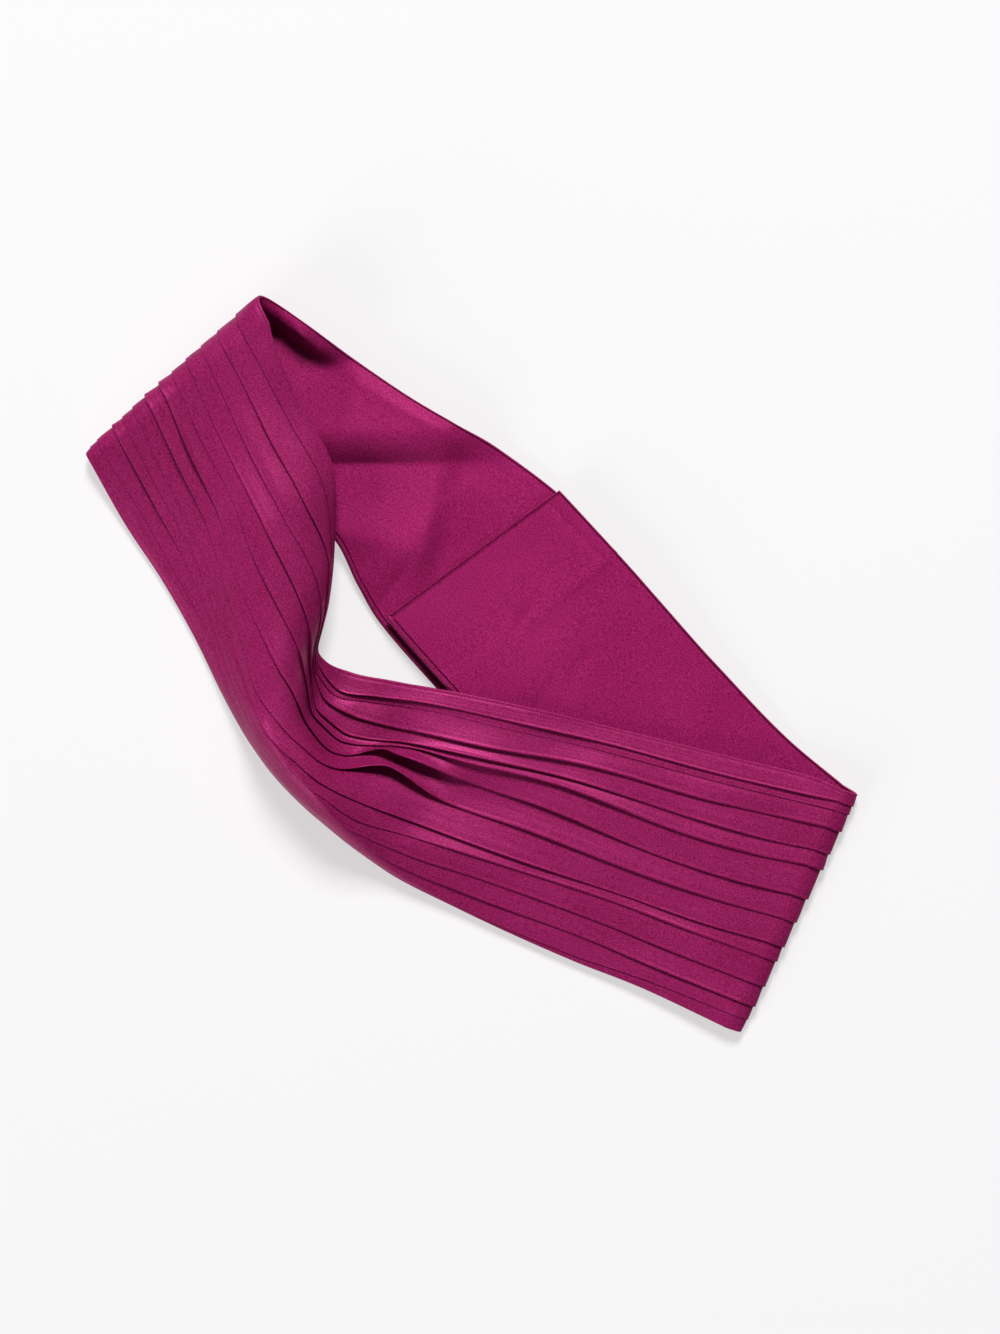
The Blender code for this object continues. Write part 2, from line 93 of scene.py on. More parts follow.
# How far each fold stands over its foot along the front: X, then the folds from 1 to 12
FOLD_RISES = (
    ("x",      1,    2,    3,    4,    5,    6,    7,    8,    9,   10,   11,   12),
    (-175,  0.90, 0.70, 0.70, 0.60, 0.60, 1.10, 1.00, 0.50, 0.50, 1.00, 0.55, 0.40),
    (-125,  0.90, 1.60, 1.00, 0.80, 0.60, 0.60, 0.60, 0.45, 0.45, 0.60, 0.50, 0.35),
    (-100,  0.60, 2.00, 1.00, 1.40, 1.10, 0.50, 0.40, 0.40, 0.40, 0.45, 0.40, 0.30),
    (-75,   0.60, 1.20, 1.00, 1.60, 1.80, 1.00, 0.60, 0.45, 0.45, 0.40, 0.35, 0.25),
    (-50,   0.80, 0.80, 1.10, 1.30, 1.40, 1.50, 1.00, 0.55, 0.50, 0.45, 0.40, 0.30),
    (-25,   1.50, 0.50, 1.20, 1.20, 1.20, 1.50, 1.30, 1.30, 0.55, 0.50, 0.80, 0.35),
    (0,     1.30, 0.20, 1.10, 1.00, 1.00, 1.30, 1.40, 1.00, 0.60, 0.45, 0.80, 0.40),
    (30,    1.30, 0.20, 1.95, 1.10, 1.25, 1.20, 1.60, 0.85, 0.80, 0.65, 0.75, 0.45),
    (60,    1.40, 0.35, 1.50, 1.20, 1.50, 2.00, 1.90, 1.30, 1.00, 0.85, 1.00, 0.60),
    (110,   1.30, 0.50, 1.40, 1.20, 1.60, 1.50, 1.60, 1.10, 1.10, 1.10, 1.20, 0.55),
    (170,   1.10, 0.45, 1.10, 1.00, 1.20, 1.10, 1.10, 1.10, 0.90, 1.00, 1.30, 0.60),
)

# The end folds: the ends of the line where the front starts to turn over, the radius at the
# top and the bottom edge, the outward direction in degrees, the slant of the pleats across
# the fold, how far the turn starts inside that line, how much it sags forward, how high the
# back's top edge still stands past the fold, and the number of rows round the turn.
END_FOLDS = {
    "left": {"top": (-157.5, 61.0), "bottom": (-179.5, -31.5), "radius": (10.6, 2.6),
             "outward": 171.9, "slant": 15.0, "soft": 0.5, "sag": 0.0, "rim": 13.0, "rows": 26},
    "right": {"top": (152.6, 66.5), "bottom": (183.6, -40.3), "radius": (2.3, 2.1),
              "outward": 14.3, "slant": 14.0, "soft": 3.8, "sag": 0.1, "rim": 0.0, "rows": 24},
}
RIM_WIDTH = 3.0, 11.0     # from the top edge: where the standing rim starts and ends falling

# Folds that stand open: which fold, where along X it lifts most, how far it takes to close
# to the left and to the right, and by how much it lifts
OPEN_FOLDS = (
    ("fold", "x", "left", "right", "lift"),
    (3, -32.0, 22.0, 22.0, 0.4),
    (4, -32.0, 22.0, 24.0, 0.4),
    (5, -33.0, 22.0, 26.0, 0.4),
    (6, -1.0, 16.0, 36.0, 6.0),
    (7, 0.0, 16.0, 34.0, 4.9),
    (3, 10.0, 40.0, 80.0, 0.7),
    (4, 20.0, 40.0, 90.0, 0.8),
    (5, 25.0, 36.0, 85.0, 1.4),
    (8, 40.0, 50.0, 80.0, 0.5),
    (6, -148.0, 28.0, 30.0, 2.2),
    (7, -150.0, 26.0, 34.0, 1.8),
    (10, -155.0, 20.0, 30.0, 1.4),
    (4, -100.0, 45.0, 40.0, 0.5),
)

# Creases and swells that lie across the pleats of the front: where each starts and ends, its
# height at both ends, below 0 for a crease, how far it reaches to the left and to the right
# of its run, and how round it is along its middle
FRONT_CREASES = (
    ("x", "y", "end_x", "end_y", "height", "end_height", "left", "right", "round"),
    (-142.0, -33.0, -112.0, -46.0, -0.7, -0.4, 2.0, 2.5, 1.0),
    (-150.0, -37.0, -116.0, -48.5, 0.5, 0.3, 2.0, 2.0, 1.0),
    (-150.0, 50.0, -112.0, 34.0, 0.8, 0.5, 3.0, 3.0, 1.5),
    (-165.0, 51.0, -112.0, 29.5, -0.5, -0.3, 1.2, 1.2, 0.5),
    (-138.0, 22.0, -104.0, 8.0, 0.4, 0.4, 3.0, 3.0, 1.5),
    (-88.0, -49.0, -62.0, -65.5, 0.6, 0.7, 1.2, 2.6, 0.6),
    (-58.0, -66.5, -36.0, -74.0, 0.8, 0.8, 1.2, 2.6, 0.6),
    (-40.0, -71.0, -8.0, -77.5, 0.8, 0.8, 1.2, 2.4, 0.5),
    (-20.0, -77.5, 14.0, -78.5, 0.5, 0.4, 1.0, 2.0, 0.5),
    (-26.0, -79.3, -10.0, -80.6, -0.5, -0.4, 1.0, 0.8, 0.3),
    (45.0, -80.0, 53.0, -76.0, 0.6, 0.3, 2.0, 4.0, 1.0),
)
CREASE_FADE = 7.0         # past the ends of its run

# The surface between cloth and lining, which all pieces of cloth are built on
ON_TABLE = 1.55           # its height where the back stretches lie on the table
FACE = 1.65               # how far the outer face stands out from it on the front
ROW_LENGTH = 1.0          # along the front
COARSE = 10               # samples from one line to the next while it is worked out
FINE = 40                 # and in the end
SOFTENING = 3, 14         # passes of averaging along the front and across it

# A pleat's section climbs from its foot to its fold, turns round the fold and goes back
# into the slit under it
FOOT = 0.8                # where a pleat starts, over the surface between cloth and lining
BACK_RISE = 0.6           # how far a fold stands over its foot where the belt lies on it
FACING_UP = 2.0, 0.3      # factor and offset: how the front's rises fade into it at a turn
RISE_VARIES = 0.9, 0.25   # a fold's usual share of its rise, and how much it varies
FULL_RISE = 2.5           # the least width of pleat that has its whole rise
FOLD_RADIUS = 0.42
FOLD_SHARES = 0.2, 0.42   # which is at most these shares of a pleat's width and of its rise
CURL = 1.4, 0.35          # how much a fold curls up, and by how much more for each mm of lift
CURL_LIFT = 4.0           # the lift past which it curls no further
STEEPEST = 0.99           # limit for the sine of the climb to the fold
FACE_PLACES = 0.0, 0.2, 0.4, 0.6, 0.8, 1.0  # points on a pleat's face, in shares of it
NEAR_FOLD = 1.8, 1.2, 0.7, 0.3, 0.0  # how far the last of them and more lie from the fold
FULL_NEAR = 6.0           # the least width of pleat where those distances are not scaled
PUFF = 0.12               # how far a pleat bulges between its foot and its fold
PUFF_VARIES = 0.7         # how much of that varies
FULL_PUFF = 8.0           # the least width of pleat that bulges as much
DIP = 0.09, 1.1, 0.45     # the hollow beside a fold: its depth, way from the fold and width
FOLD_TURNS = 0.25, 0.5, 0.75, 1.0  # points round a fold, in shares of its turn
TUCK = 2.6, 0.5           # depth of the slit under a fold, at most this share of the width
SLIT = 0.12, 0.05         # its upper side in shares of the rise, its lower side's drop
RISE_WAVES = 97.0, 61.0   # lengths of the waves along the belt in which the rises vary
PUFF_WAVES = 83.0, 131.0  # and those of the bulges
WAVE_STRETCH = 0.75, 1.3  # the factors between which each of these lengths varies
FRONT_SEED = 11

# The rolled edges; the places beside a roll are in radii of it
ROLL = 0.7                # radius of the rolled edges
ROLL_TURNS = -90, -60, -30, 0, 30, 60, 90  # points round the top edge's roll, in degrees
TOP_GROOVE = 1.7, 0.75    # place and height of the groove pressed in beside it
TOP_WIDTH = 2.4           # how much of the first pleat it takes up
BOTTOM_CENTRE = 0.1       # height of the middle of the bottom edge's roll
LIP = 0.5, 2.2            # width of the rolled top and bottom edge on the lining's side
BOTTOM_LIP = (0.4, 1.3), (0.8, 1.2), (1.0, 0.8)  # shares of that width, and depths
CLOTH_INSIDE = -0.1       # the pleated satin's side that lies against the lining

SMOOTH_ANGLE = 75         # in degrees; sharper edges stay sharp
MERGE = 0.000001          # points nearer than this become one, in metres


def smooth(knots, values, at):
    """Curves through columns of values that never overshoot them (monotone cubic)."""
    x = np.asarray(knots, float)
    y = np.asarray(values, float).reshape(len(x), -1)
    step = np.diff(x)[:, None]
    slope = np.diff(y, axis=0) / step
    tangent = np.zeros_like(y)
    tangent[0], tangent[-1] = slope[0], slope[-1]
    before, after = 2 * step[1:] + step[:-1], step[1:] + 2 * step[:-1]
    same = slope[:-1] * slope[1:] > 0
    safe = np.where(same, slope[:-1], 1.0), np.where(same, slope[1:], 1.0)
    tangent[1:-1] = np.where(same, (before + after) / (before / safe[0] + after / safe[1]), 0)
    at = np.clip(np.atleast_1d(np.asarray(at, float)), x[0], x[-1])
    i = np.clip(np.searchsorted(x, at, side="right") - 1, 0, len(x) - 2)
    t = ((at - x[i]) / np.diff(x)[i])[:, None]
    return (y[i] * (1 + 2 * t) * (1 - t) ** 2 + y[i + 1] * t * t * (3 - 2 * t)
            + step[i] * (tangent[i] * t * (1 - t) ** 2 - tangent[i + 1] * t * t * (1 - t)))


def ease(share):
    """A share from 0 to 1 that starts and stops softly."""
    return share * share * (3 - 2 * share)


def soften(grid, along, across):
    """The grid after some passes of averaging along its rows and across them."""
    grid = grid.copy()
    for _ in range(along):
        grid[1:-1] = (grid[:-2] + 2 * grid[1:-1] + grid[2:]) / 4
    for _ in range(across):
        grid[:, 1:-1] = (grid[:, :-2] + 2 * grid[:, 1:-1] + grid[:, 2:]) / 4
    return grid


def columns(rows):
    """A table's columns by their heading, without its first column."""
    return {column[0]: np.array(column[1:], float) for column in list(zip(*rows))[1:]}


LINES = columns(FRONT_LINES)
HEIGHTS = columns(FRONT_HEIGHTS)
LINE_X = np.array([row[0] for row in FRONT_HEIGHTS[1:]], float)
LAST = len(LINES) - 1
COARSE_ACROSS = np.linspace(0, LAST, LAST * COARSE + 1)
ACROSS = np.linspace(0, LAST, LAST * FINE + 1)


def share_down(side):
    """How far down from the top edge to the bottom edge each line reaches an end fold."""
    column = np.array([row[0] if side == "left" else row[-1] for row in LINES.values()])
    return (column[0] - column) / (column[0] - column[-1])


def fold_line(side):
    """Where each line reaches the end fold, and the fold's radius there."""
    fold = END_FOLDS[side]
    share = share_down(side)[:, None]
    place = np.array(fold["top"]) + share * (np.array(fold["bottom"]) - np.array(fold["top"]))
    radius = fold["radius"][0] + share[:, 0] * (fold["radius"][1] - fold["radius"][0])
    return place, radius


def normals(grid):
    """Unit normals of a grid, on the side that the pleats face."""
    found = np.cross(np.gradient(grid, axis=1), np.gradient(grid, axis=0))
    return found / np.linalg.norm(found, axis=2)[:, :, None]


def crease_height(grid, creases):
    """How far all the creases and swells together lift each point of a grid."""
    total = np.zeros(grid.shape[:2])
    for x, y, end_x, end_y, height, end_height, left, right, rounding in creases[1:]:
        run = np.array([end_x - x, end_y - y])
        length = np.hypot(*run)
        run = run / length
        from_start = grid[:, :, :2] - np.array([x, y])
        along = from_start @ run
        aside = from_start @ np.array([-run[1], run[0]])
        reach = np.where(aside > 0, left, right)
        profile = np.exp(-(np.sqrt(aside ** 2 + rounding ** 2) - rounding) / reach)
        past = np.maximum(np.maximum(-along, along - length), 0)
        share = np.clip(along / length, 0, 1)
        total += ((height + (end_height - height) * share) * profile
                  * np.exp(-(past / CREASE_FADE) ** 2))
    return total


def front_surface():
    """The surface between cloth and lining along the front, and the X of each of its rows."""
    left, left_radius = fold_line("left")
    right, right_radius = fold_line("right")
    start, end = left[:, 0].mean(), right[:, 0].mean()
    knots = np.concatenate([[start], LINE_X, [end]])
    first, last = start + END_FOLDS["left"]["soft"], end - END_FOLDS["right"]["soft"]
    stations = np.linspace(first, last, int((last - first) / ROW_LENGTH) + 1)
    x = [smooth(knots, [left[k, 0], *LINE_X, right[k, 0]], stations)[:, 0] for k in LINES]
    y = [smooth(knots, LINES[k], stations)[:, 0] for k in LINES]
    z = []
    for k in HEIGHTS:
        ends = [ON_TABLE + 2 * np.interp(k, list(LINES), radius)
                for radius in (left_radius, right_radius)]
        z.append(smooth(knots, [ends[0], *HEIGHTS[k], ends[1]], stations)[:, 0])
    plan = [smooth(list(LINES), line, COARSE_ACROSS).T for line in (x, y)]
    high = smooth(list(HEIGHTS), z, COARSE_ACROSS).T
    grid = soften(np.stack([plan[0], plan[1], high], axis=2), *SOFTENING)
    grid[:, :, :2] -= (normals(grid) * FACE)[:, :, :2]
    grid[:, :, 2] += crease_height(grid, FRONT_CREASES)
    return grid, stations


def standing_rim(row):
    """How much of the rim's height each point of a row has, by its way from the top edge."""
    way = np.concatenate([[0], np.cumsum(np.hypot(*np.diff(row[:, :2], axis=0).T))])
    return 1 - ease(np.clip((way - RIM_WIDTH[0]) / (RIM_WIDTH[1] - RIM_WIDTH[0]), 0, 1))


def turn(side, edge_row):
    """Rows of an end fold, from the front's last row round to the back."""
    fold = END_FOLDS[side]
    direction = math.radians(fold["outward"])
    out = np.array([math.cos(direction), math.sin(direction)])
    up_fold = np.array([-out[1], out[0]]) * (1 if side == "right" else -1)
    half = (edge_row[:, 2] - ON_TABLE) / 2
    reach = np.interp(np.linspace(0, 1, len(half)), (0, 1), fold["radius"]) + fold["soft"]
    rim = fold["rim"] * standing_rim(edge_row)
    rows = []
    for k in range(1, fold["rows"] + 1):
        angle = math.pi * k / fold["rows"]
        outward = math.sin(angle) - fold["sag"] * math.sin(2 * angle)
        drift = half * angle * math.tan(math.radians(fold["slant"]))
        plan = edge_row[:, :2] + out * (reach * outward)[:, None] + up_fold * drift[:, None]
        height = ON_TABLE + rim + (half - rim / 2) * (1 + math.cos(angle))
        rows.append(np.column_stack([plan, height]))
    return np.array(rows)


def lifts(x, facing_up):
    """How far each fold lifts over its usual step, in each row: rows by folds."""
    lift = np.zeros((len(x), LAST + 1))
    for fold, at, left, right, most in OPEN_FOLDS[1:]:
        reach = np.where(x < at, left, right)
        share = np.minimum(np.abs(x - at) / reach, 1.0)
        lift[:, fold] += most * (1 - ease(share)) * facing_up
    return lift


def sample(grid, at):
    """Points of a grid's rows at places across it, which differ from row to row."""
    return np.stack([[np.interp(at[i], ACROSS, grid[i, :, c]) for i in range(len(grid))]
                     for c in range(3)], axis=2)


def unevenness(way, pleats, seed, lengths):
    """Smooth random waves along each pleat, from -1 to 1 or so."""
    draw = np.random.default_rng(seed)
    waves = np.zeros((len(way), pleats))
    for length in lengths:
        phase = draw.uniform(0, 2 * math.pi, pleats)
        stretch = draw.uniform(*WAVE_STRETCH, pleats)
        waves += np.sin(way[:, None] * 2 * math.pi / (length * stretch) + phase)
    return waves / len(lengths)


def pleat_profile(wide, radius, centre, lift, puff_waves):
    """A pleat from its foot over its face and round its fold, in each row: how far each of
    its points lies past the fold's line, and how high."""
    length = wide - radius
    curl = CURL[0] + CURL[1] * np.clip(lift, 0, CURL_LIFT)
    steep = (centre - FOOT) * curl
    climb = np.arctan2(steep, length)
    climb = climb + np.arcsin(np.minimum(radius / np.hypot(steep, length), STEEPEST))
    touch = (-radius - radius * np.sin(climb), centre + radius * np.cos(climb))
    reach = wide + touch[0]
    near = np.minimum(1, wide / FULL_NEAR)
    bulge = PUFF * np.minimum(1, wide / FULL_PUFF) * (1 + PUFF_VARIES * puff_waves)
    places = [(reach - NEAR_FOLD[0] * near) * t for t in FACE_PLACES]
    places += [reach - distance * near for distance in NEAR_FOLD[1:]]
    points = []
    for place in places:
        t = place / reach
        from_dip = ((reach - place) / near - DIP[1]) / DIP[2]
        puff = bulge * 4 * t * (1 - t) - DIP[0] * near * np.exp(-from_dip ** 2)
        points.append((-wide + place - puff * np.sin(climb),
                       FOOT + (touch[1] - FOOT) * t ** curl + puff * np.cos(climb)))
    for turned in FOLD_TURNS:
        angle = math.pi / 2 + climb - turned * (math.pi + climb)
        points.append((-radius + radius * np.cos(angle), centre + radius * np.sin(angle)))
    return points


def pleated_section(grid, rises, lift, inside, seed):
    """The closed section of the pleated satin in each row, as points: from the lip of the
    top edge's roll over the pleats to the bottom edge's roll, and back against the lining."""
    middle = grid[:, len(ACROSS) // 2]
    way = np.concatenate([[0], np.cumsum(np.linalg.norm(np.diff(middle, axis=0), axis=1))])
    width = np.linalg.norm(np.diff(grid[:, ::FINE], axis=1), axis=2)
    rise_waves = unevenness(way, LAST, seed, RISE_WAVES)
    puff_waves = unevenness(way, LAST, seed + 1, PUFF_WAVES)
    at, high = [], []

    def add(line, distance, height, pleat):
        at.append(np.clip(line + distance / width[:, pleat], 0.0, float(LAST)))
        high.append(height + np.zeros(len(grid)))

    # the top edge's roll, and the groove pressed in beside it
    add(0, LIP[0], -ROLL, 0)
    for angle in ROLL_TURNS:
        across = ROLL * (1 - math.cos(math.radians(angle)))
        add(0, across, ROLL * math.sin(math.radians(angle)), 0)
    add(0, TOP_GROOVE[0] * ROLL, TOP_GROOVE[1] * ROLL, 0)
    for pleat in range(LAST):
        wide = width[:, pleat] - (TOP_WIDTH * ROLL if pleat == 0 else 0)
        radius, centre = ROLL, BOTTOM_CENTRE
        if pleat < LAST - 1:
            varied = RISE_VARIES[0] + RISE_VARIES[1] * rise_waves[:, pleat]
            rise = rises[:, pleat] * varied * np.minimum(1, wide / FULL_RISE)
            rise = rise + lift[:, pleat + 1]
            radius = np.minimum(FOLD_SHARES[0] * wide, FOLD_SHARES[1] * rise)
            radius = np.minimum(FOLD_RADIUS, radius)
            centre = FOOT + rise - radius
        for distance, height in pleat_profile(wide, radius, centre, lift[:, pleat + 1],
                                              puff_waves[:, pleat]):
            add(pleat + 1, distance, height, pleat)
        if pleat < LAST - 1:
            deep = np.minimum(TUCK[0], TUCK[1] * wide)
            add(pleat + 1, -deep, FOOT + SLIT[0] * rise, pleat)
            add(pleat + 1, -deep, FOOT - SLIT[1], pleat)
    # the bottom edge's lip, and back between cloth and lining
    for share, depth in BOTTOM_LIP:
        add(LAST, -share * LIP[1], -depth * ROLL, LAST - 1)
    add(LAST, -LIP[1], inside, LAST - 1)
    for line in range(LAST - 1, 0, -1):
        add(line, 0, inside, line)
    add(0, LIP[0], inside, 0)
    at, high = np.array(at).T, np.array(high).T
    points = sample(grid, at) + sample(normals(grid), at) * high[:, :, None]
    return np.concatenate([points, points[:, :1]], axis=1)


def cloth(name, grid):
    """A closed mesh through the points of the grid, joined round its section and filled at
    its ends, in metres. Its UV map has the lengths along and across the cloth."""
    last_row, last_column = grid.shape[0] - 1, grid.shape[1] - 1
    bpy.ops.object.select_all(action="DESELECT")
    bpy.ops.mesh.primitive_grid_add(x_subdivisions=last_column, y_subdivisions=last_row, size=1)
    piece = bpy.context.object
    piece.name = piece.data.name = name
    flat = np.zeros(len(piece.data.vertices) * 3)
    piece.data.vertices.foreach_get("co", flat)
    flat = flat.reshape(-1, 3) + 0.5
    column = np.rint(flat[:, 0] * last_column).astype(int)
    row = np.rint(flat[:, 1] * last_row).astype(int)
    piece.data.vertices.foreach_set("co", (grid[row, column] * MM).ravel())
    along = np.linalg.norm(np.diff(grid, axis=0), axis=2).mean(axis=1)
    across = np.linalg.norm(np.diff(grid, axis=1), axis=2).mean(axis=0)
    along = np.concatenate([[0], np.cumsum(along)]) * MM
    across = np.concatenate([[0], np.cumsum(across)]) * MM
    corner = np.zeros(len(piece.data.loops), int)
    piece.data.loops.foreach_get("vertex_index", corner)
    uv = np.column_stack([along[row[corner]], across[column[corner]]])
    piece.data.uv_layers[0].data.foreach_set("uv", uv.ravel())
    bpy.ops.object.mode_set(mode="EDIT")
    bpy.ops.mesh.select_all(action="SELECT")
    bpy.ops.mesh.remove_doubles(threshold=MERGE)
    bpy.ops.mesh.fill_holes(sides=0)
    bpy.ops.mesh.select_all(action="SELECT")
    bpy.ops.mesh.normals_make_consistent(inside=False)
    bpy.ops.object.mode_set(mode="OBJECT")
    bpy.ops.object.shade_smooth_by_angle(angle=math.radians(SMOOTH_ANGLE))
    return piece


# The satin's weave and its streaks: cells of each noise in a metre, the streaks' along and across the cloth;
# where most of a noise's values lie; and how much of the way from dark to light each takes
GRAINS = (1900, 1900, 1900)
PATCHES = (30, 30, 30)
STREAKS = (14, 520, 1)
NOISE_RANGE = (0.3, 0.7)
GRAIN_TONE = 0.66
PATCH_TONE = 0.14
GLOSS_VARIES = 0.05       # how far the streaks change the roughness
GRAIN_DEPTH = 0.00012     # in metres
STREAK_DEPTH = 0.0015     # in metres, for a satin that is all streaks


def satin(name, dark, light, roughness, gloss, streaky):
    """Plum satin: fine grains of weave, and streaks along the belt in painted sheen, bump and roughness,
    under a coloured gloss.
    """
    material = bpy.data.materials.new(name)
    material.use_nodes = True
    nodes, links = material.node_tree.nodes, material.node_tree.links
    shader = nodes["Principled BSDF"]
    shader.inputs["Metallic"].default_value = gloss
    shader.inputs["Specular IOR Level"].default_value = 0.12
    shader.inputs["Specular Tint"].default_value = (1.0, 0.5, 0.75, 1.0)
    place = nodes.new("ShaderNodeTexCoord")
    along_belt = nodes.new("ShaderNodeUVMap")

    def noise(vector, scale, detail):
        texture = nodes.new("ShaderNodeTexNoise")
        texture.inputs["Scale"].default_value = 1.0
        texture.inputs["Detail"].default_value = detail
        mapped = nodes.new("ShaderNodeMapping")
        mapped.inputs["Scale"].default_value = scale
        links.new(vector, mapped.inputs["Vector"])
        links.new(mapped.outputs["Vector"], texture.inputs["Vector"])
        return texture.outputs["Fac"]

    def spread(factor, low, high):
        mapped = nodes.new("ShaderNodeMapRange")
        mapped.inputs["From Min"].default_value = NOISE_RANGE[0]
        mapped.inputs["From Max"].default_value = NOISE_RANGE[1]
        mapped.inputs["To Min"].default_value = low
        mapped.inputs["To Max"].default_value = high
        links.new(factor, mapped.inputs["Value"])
        return mapped.outputs["Result"]

    def total(first, second):
        both = nodes.new("ShaderNodeMath")
        both.operation = "ADD"
        links.new(first, both.inputs[0])
        links.new(second, both.inputs[1])
        return both.outputs["Value"]

    grains = noise(place.outputs["Object"], GRAINS, detail=1.0)
    patches = noise(place.outputs["Object"], PATCHES, detail=2.0)
    streaks = noise(along_belt.outputs["UV"], STREAKS, detail=2.0)
    tone = total(spread(grains, 0.0, GRAIN_TONE), spread(patches, 0.0, PATCH_TONE))
    # the streaks' share of the tone is painted sheen; their bump and roughness below are real
    tone = total(tone, spread(streaks, 0.0, streaky))
    ramp = nodes.new("ShaderNodeValToRGB")
    ramp.color_ramp.elements[0].color = (*dark, 1)
    ramp.color_ramp.elements[1].color = (*light, 1)
    links.new(tone, ramp.inputs["Fac"])
    links.new(ramp.outputs["Color"], shader.inputs["Base Color"])
    uneven_gloss = spread(streaks, roughness + GLOSS_VARIES, roughness - GLOSS_VARIES)
    links.new(uneven_gloss, shader.inputs["Roughness"])
    ridges = nodes.new("ShaderNodeBump")
    ridges.inputs["Strength"].default_value = 1.0
    ridges.inputs["Distance"].default_value = streaky * STREAK_DEPTH
    links.new(streaks, ridges.inputs["Height"])
    bump = nodes.new("ShaderNodeBump")
    bump.inputs["Strength"].default_value = 0.6
    bump.inputs["Distance"].default_value = GRAIN_DEPTH
    links.new(grains, bump.inputs["Height"])
    links.new(ridges.outputs["Normal"], bump.inputs["Normal"])
    links.new(bump.outputs["Normal"], shader.inputs["Normal"])
    return material


front, front_x = front_surface()
turns = {side: turn(side, row) for side, row in (("left", front[0]), ("right", front[-1]))}
ring = np.concatenate([turns["left"][::-1], front, turns["right"]])
ring = np.stack([smooth(COARSE_ACROSS, ring[:, :, c].T, ACROSS).T for c in range(3)], axis=2)
ring_x = np.pad(front_x, (len(turns["left"]), len(turns["right"])), mode="edge")
upright = normals(ring)[:, len(ACROSS) // 2, 2]
facing_up = np.clip(upright * FACING_UP[0] + FACING_UP[1], 0, 1)
rise_x = [row[0] for row in FOLD_RISES[1:]]
rises = np.column_stack([smooth(rise_x, rise, ring_x) for rise in columns(FOLD_RISES).values()])
rises = BACK_RISE + (rises - BACK_RISE) * facing_up[:, None]
section = pleated_section(ring, rises, lifts(ring_x, facing_up), CLOTH_INSIDE, FRONT_SEED)
pleats_front = cloth("pleated_satin_front", section)
# The pleated satin is the lining's cloth with its colours darkened by a seventh to a fifth: painted shade.
pleated_satin = satin("plum_satin_pleated_painted_shade", (0.127, 0.0, 0.032), (0.345, 0.022, 0.135),
                      roughness=0.42, gloss=0.16, streaky=0.1)
pleats_front.data.materials.append(pleated_satin)
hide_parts("pleats_front")
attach(pleats_front, "root")


# ---------------------------------------------------------------- pleated satin, the back
# The same strip goes on under the belt: past each end fold it lies with its pleats down on
# the table, pressed flatter, as far as its free end. The right end lies over the left one.

ON_TAPES = 7.15           # height of the surface where it lies over the closure's tapes

# The back stretches from above, from the fold to the free end: where each section across
# them ends at the top and the bottom edge, how far it bows up in its middle, and its height
BACK_STRETCHES = {
    "left": (
        ("section", "top_x", "top_y", "bottom_x", "bottom_y", "bow", "height"),
        ("near_fold", -125.0, 72.3, -140.0, -21.0, 0.5, ON_TABLE),
        ("hollow", -95.0, 75.2, -108.0, -7.0, 0.5, ON_TABLE),
        ("pinch", -72.0, 79.0, -82.0, 9.5, 0.5, ON_TABLE),
        ("bulge", -52.0, 82.8, -60.0, 1.0, 0.5, ON_TABLE),
        ("under_free_end", -23.0, 84.6, -44.0, -4.8, 0.0, ON_TABLE),
        ("free_end", 15.0, 81.6, 0.0, -12.0, 0.0, ON_TABLE),
    ),
    "right": (
        ("section", "top_x", "top_y", "bottom_x", "bottom_y", "bow", "height"),
        ("near_fold", 128.0, 67.5, 140.0, -33.0, 0.0, ON_TABLE),
        ("foot_of_ramp", 75.0, 72.5, 75.0, -21.3, 0.0, 3.6),
        ("ramp", 44.0, 77.0, 38.0, -14.8, 0.0, 5.7),
        ("top_of_ramp", 24.0, 80.0, 14.0, -10.5, 0.0, ON_TAPES),
        ("end_of_tapes", -18.0, 85.5, -39.0, -2.6, 0.0, ON_TAPES),
        ("free_end", -20.5, 85.8, -42.0, -2.0, 0.0, 6.9),
    ),
}

# How high the standing rim of the left stretch's top edge is, by the way from its fold
RIM_RUN = ((0.0, 12.0, 24.0, 40.0, 250.0), (13.0, 13.0, 9.0, 0.5, 0.0))

# The left back stretch stands off the table beside its fold and falls to it at a crease:
# the crease's run, from how far off the cloth falls to it, how round and how steep it is at
# the crease, how high the cloth stands at each X, over which way from the fold it rises, and
# from where to where it comes down towards its bottom edge, in shares of its width
CREASE_RUN = ((-100.0, 34.0), (-58.0, 70.0))
CREASE_REACH = 14.0
CREASE_ROUND = 0.8
CREASE_POWER = 1.8
PLATEAU = ((-170.0, -150.0, -130.0, -110.0, -90.0, -75.0, -60.0, -45.0, -30.0),
           (0.5, 2.6, 5.4, 6.4, 6.8, 6.4, 4.0, 1.0, 0.0))
PLATEAU_START = 10.0
PLATEAU_ENDS = (0.5, 0.8)

